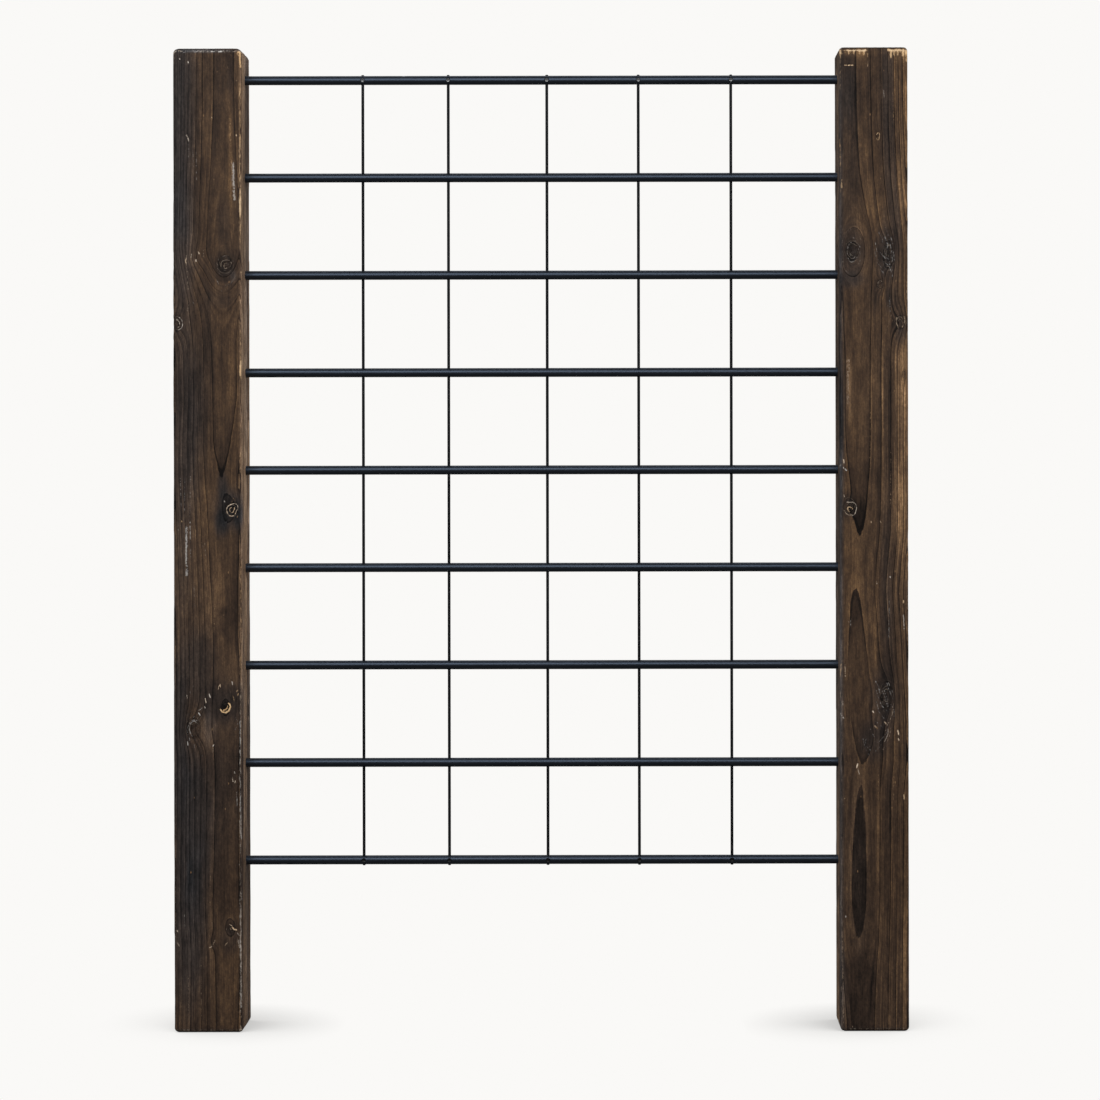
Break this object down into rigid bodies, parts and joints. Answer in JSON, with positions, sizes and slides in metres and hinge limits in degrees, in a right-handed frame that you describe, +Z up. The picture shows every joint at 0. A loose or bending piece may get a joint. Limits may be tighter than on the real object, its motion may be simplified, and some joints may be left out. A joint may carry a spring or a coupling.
{
  "type": "espalier frame",
  "caption": "Free-standing espalier frame: square dark-stained timber posts joined by round black steel rods, with thin vertical wires threaded through the rods to train a plant on.",
  "frame": {"origin": "on the ground, midway between the two posts and midway through their depth", "axes": "+Z up along the posts, X along the rods from the left post to the right post, -Y towards the viewer of the front"},
  "size_m": [0.97, 0.09, 1.3],
  "materials": {
    "stained_timber": "dark stained, weathered softwood with rubbed edges",
    "black_rod": "satin black coating on round steel bar",
    "black_wire": "matt black coated steel wire",
    "zinc_screw": "zinc-plated steel"
  },
  "bodies": {
    "root": {"left_post": "stained_timber", "right_post": "stained_timber", "rod_1": "black_rod", "rod_2": "black_rod", "rod_3": "black_rod", "rod_4": "black_rod", "rod_5": "black_rod", "rod_6": "black_rod", "rod_7": "black_rod", "rod_8": "black_rod", "rod_9": "black_rod", "wire_1": "black_wire", "wire_2": "black_wire", "wire_3": "black_wire", "wire_4": "black_wire", "wire_5": "black_wire", "top_grub_screws": "zinc_screw", "bottom_grub_screws": "zinc_screw", "left_lock_screws": "zinc_screw", "right_lock_screws": "zinc_screw"}
  },
  "joints": []
}
